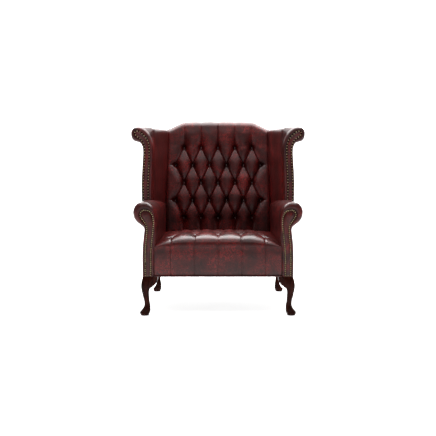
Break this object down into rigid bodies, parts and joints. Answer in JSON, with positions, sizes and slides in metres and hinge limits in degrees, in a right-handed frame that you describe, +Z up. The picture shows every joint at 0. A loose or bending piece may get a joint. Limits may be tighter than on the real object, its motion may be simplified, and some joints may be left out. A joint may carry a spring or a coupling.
{
  "type": "wing loveseat",
  "caption": "High-backed wing settee with scrolled wings, rolled arms, button-tufted leather back and seat, nail-head trim and cabriole legs.",
  "frame": {"origin": "on the floor, under the middle of the overall size", "axes": "+Z up, the seat faces -Y, +X to the right as seen from the front"},
  "size_m": [1.0088, 0.8184, 1.09],
  "materials": {
    "leather": "antique oxblood leather, semi-gloss, mottled",
    "leather_welt": "dark red leather piping",
    "mahogany": "dark mahogany stain, glossy varnish",
    "beech": "planed beech, unfinished",
    "brass_nails": "antique brass, dulled",
    "spring_steel": "bare spring steel",
    "padding": "upholstery foam and wadding",
    "black_cloth": "black spunbonded cloth",
    "jute": "woven jute"
  },
  "bodies": {
    "root": {"back_buttons": "leather", "back_cover": "leather", "back_foam": "padding", "back_seat_rail": "beech", "back_webbing": "jute", "corner_blocks": "beech", "crest_rail": "beech", "dust_cover": "black_cloth", "front_seat_rail": "beech", "front_welt": "leather_welt", "knee_brackets": "mahogany", "left_arm_cover": "leather", "left_arm_facing": "leather", "left_arm_nails": "brass_nails", "left_arm_pad": "padding", "left_arm_rail": "beech", "left_back_upright": "beech", "left_front_leg": "mahogany", "left_front_post": "beech", "left_outside_arm_panel": "leather", "left_outside_wing_panel": "leather", "left_rear_leg": "mahogany", "left_seat_rail": "beech", "left_wing_cover": "leather", "left_wing_facing": "leather", "left_wing_nails": "brass_nails", "left_wing_pad": "padding", "left_wing_post": "beech", "left_wing_top_rail": "beech", "leg_bolts": "spring_steel", "lower_back_rail": "beech", "outside_back_panel": "leather", "right_arm_cover": "leather", "right_arm_facing": "leather", "right_arm_nails": "brass_nails", "right_arm_pad": "padding", "right_arm_rail": "beech", "right_back_upright": "beech", "right_front_leg": "mahogany", "right_front_post": "beech", "right_outside_arm_panel": "leather", "right_outside_wing_panel": "leather", "right_rear_leg": "mahogany", "right_seat_rail": "beech", "right_wing_cover": "leather", "right_wing_facing": "leather", "right_wing_nails": "brass_nails", "right_wing_pad": "padding", "right_wing_post": "beech", "right_wing_top_rail": "beech", "seat_base_cloth": "jute", "seat_buttons": "leather", "seat_cover": "leather", "seat_foam": "padding", "seat_springs": "spring_steel", "spring_clips": "spring_steel"}
  },
  "joints": []
}
